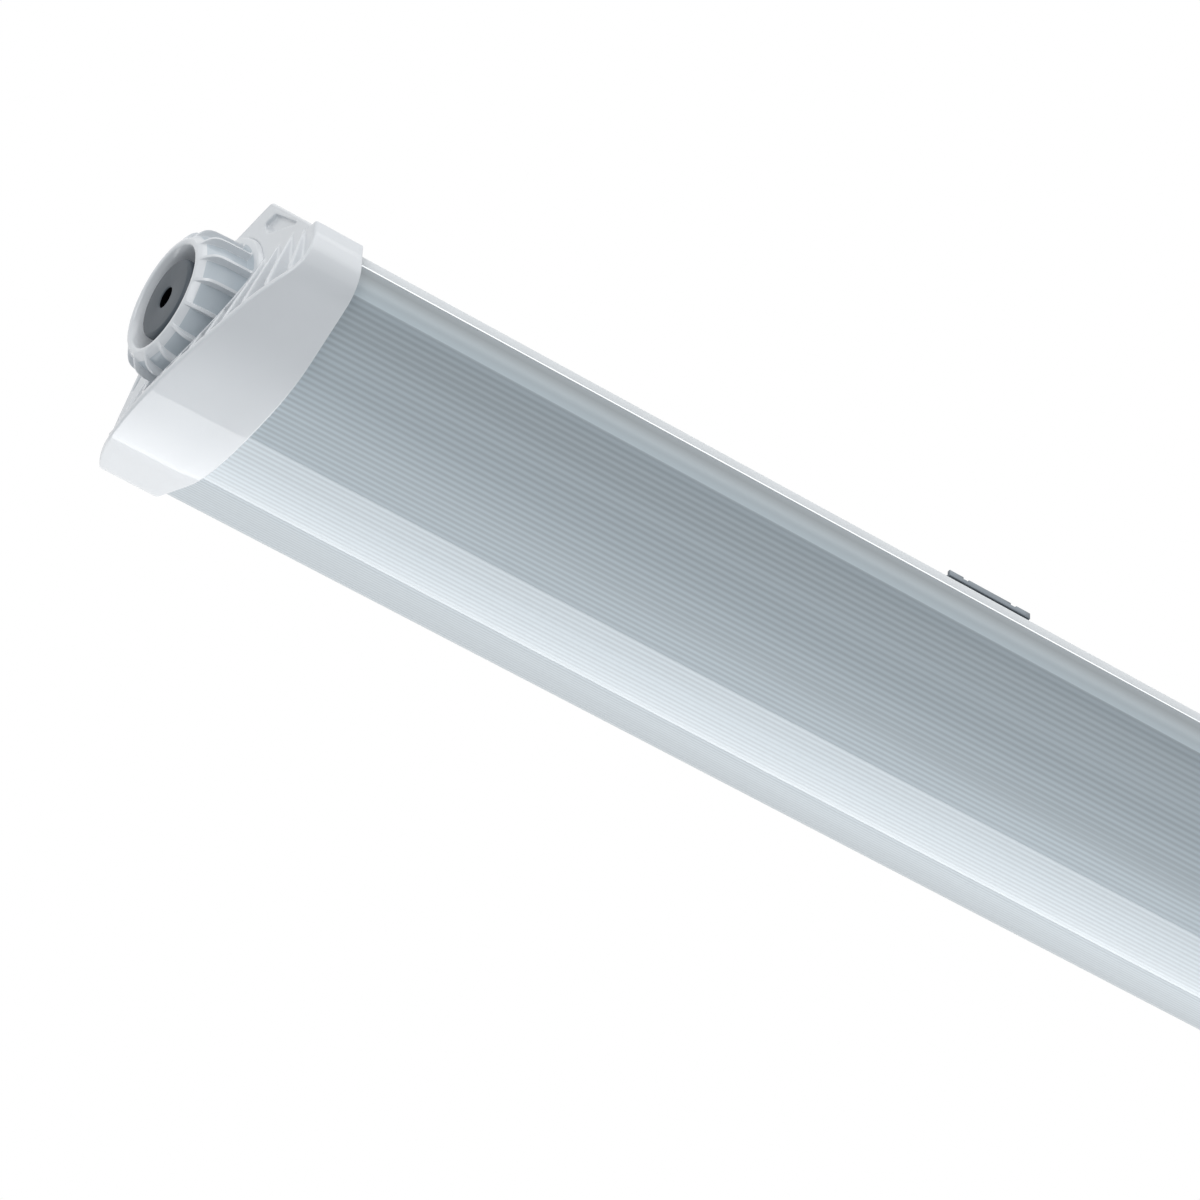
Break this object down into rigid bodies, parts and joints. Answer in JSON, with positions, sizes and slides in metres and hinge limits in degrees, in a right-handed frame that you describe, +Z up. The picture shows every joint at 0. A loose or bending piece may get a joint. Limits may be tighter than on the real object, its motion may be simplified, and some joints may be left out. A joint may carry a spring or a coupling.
{
  "type": "vapor tight light fixture",
  "caption": "Long sealed ceiling light with a ribbed lens under a flat housing, an end cap with a gland nut at each end, and sliding steel clips on its back.",
  "frame": {"origin": "middle of the fixture's length, on the flat face it hangs from, centred across its width", "axes": "+X along the fixture from the cable end to the blind end, +Y across it, +Z up to the ceiling"},
  "size_m": [1.2, 0.1, 0.0628],
  "materials": {
    "housing_plastic": "satin light grey glass-filled polyester",
    "cap_plastic": "satin white moulded polycarbonate",
    "lens_plastic": "frosted ribbed polycarbonate, unlit",
    "dark_rubber": "matte",
    "gasket_foam": "closed-cell foam",
    "nylon": "natural nylon",
    "stainless_steel": "rolled stainless sheet",
    "plated_steel": "zinc plated",
    "tray_steel": "white powder coat",
    "driver_case": "satin",
    "led_board": "white solder mask",
    "brown_insulation": "satin",
    "blue_insulation": "satin",
    "green_insulation": "satin",
    "white_insulation": "satin"
  },
  "bodies": {
    "shell": {"housing": "housing_plastic", "lens": "lens_plastic"},
    "clip_a": {"ceiling_clip_a": "stainless_steel"},
    "clip_b": {"ceiling_clip_b": "stainless_steel"},
    "gear_assembly": {"end_cap_a": "cap_plastic", "end_gasket_a": "gasket_foam", "grommet": "dark_rubber", "gear_tray": "tray_steel", "tray_end_screw_1": "plated_steel", "tray_end_screw_2": "plated_steel", "led_driver": "driver_case", "driver_screw_1": "plated_steel", "driver_screw_2": "plated_steel", "terminal_block": "nylon", "terminal_screw_1": "plated_steel", "terminal_screw_2": "plated_steel", "terminal_screw_3": "plated_steel", "cable_clamp": "nylon", "cable_clamp_screw_1": "plated_steel", "cable_clamp_screw_2": "plated_steel", "earth_lug": "stainless_steel", "earth_screw": "plated_steel", "earth_wire": "green_insulation", "live_wire": "brown_insulation", "neutral_wire": "blue_insulation", "led_lead_far": "white_insulation", "led_lead_near": "white_insulation", "board_link_far": "white_insulation", "board_link_near": "white_insulation", "led_board_far_1": "led_board", "led_board_far_1_screw_1": "plated_steel", "led_board_far_1_screw_2": "plated_steel", "led_board_far_2": "led_board", "led_board_far_2_screw_1": "plated_steel", "led_board_far_2_screw_2": "plated_steel", "led_board_near_1": "led_board", "led_board_near_1_screw_1": "plated_steel", "led_board_near_1_screw_2": "plated_steel", "led_board_near_2": "led_board", "led_board_near_2_screw_1": "plated_steel", "led_board_near_2_screw_2": "plated_steel"},
    "ring_a": {"slip_ring_a": "nylon"},
    "nut_a": {"gland_nut_a": "cap_plastic"},
    "blind_cap": {"end_cap_b": "cap_plastic", "end_gasket_b": "gasket_foam", "blind_plug": "dark_rubber"},
    "ring_b": {"slip_ring_b": "nylon"},
    "nut_b": {"gland_nut_b": "cap_plastic"}
  },
  "joints": [
    {"name": "clip_a_slide", "type": "slide", "parent": "shell", "child": "clip_a", "axis": [1, 0, 0], "range_m": [-0.19, 0.3]},
    {"name": "clip_b_slide", "type": "slide", "parent": "shell", "child": "clip_b", "axis": [-1, 0, 0], "range_m": [-0.19, 0.3]},
    {"name": "gear_slide", "type": "slide", "parent": "shell", "child": "gear_assembly", "axis": [-1, 0, 0], "range_m": [0, 0.4]},
    {"name": "blind_cap_slide", "type": "slide", "parent": "shell", "child": "blind_cap", "axis": [1, 0, 0], "range_m": [0, 0.03]},
    {"name": "ring_a_travel", "type": "slide", "parent": "gear_assembly", "child": "ring_a", "axis": [-1, 0, 0], "range_m": [0, 0.005]},
    {"name": "nut_a_turn", "type": "hinge", "parent": "ring_a", "child": "nut_a", "pos_m": [-0.5917, 0, -0.0281], "axis": [-1, 0, 0], "range_deg": [0, 720]},
    {"name": "ring_b_travel", "type": "slide", "parent": "blind_cap", "child": "ring_b", "axis": [1, 0, 0], "range_m": [0, 0.005]},
    {"name": "nut_b_turn", "type": "hinge", "parent": "ring_b", "child": "nut_b", "pos_m": [0.5917, 0, -0.0281], "axis": [1, 0, 0], "range_deg": [0, 720]}
  ],
  "couplings": [
    {"joint": "nut_a_turn", "follows": "ring_a_travel", "rad_per_m": 2513.3},
    {"joint": "nut_b_turn", "follows": "ring_b_travel", "rad_per_m": 2513.3}
  ]
}
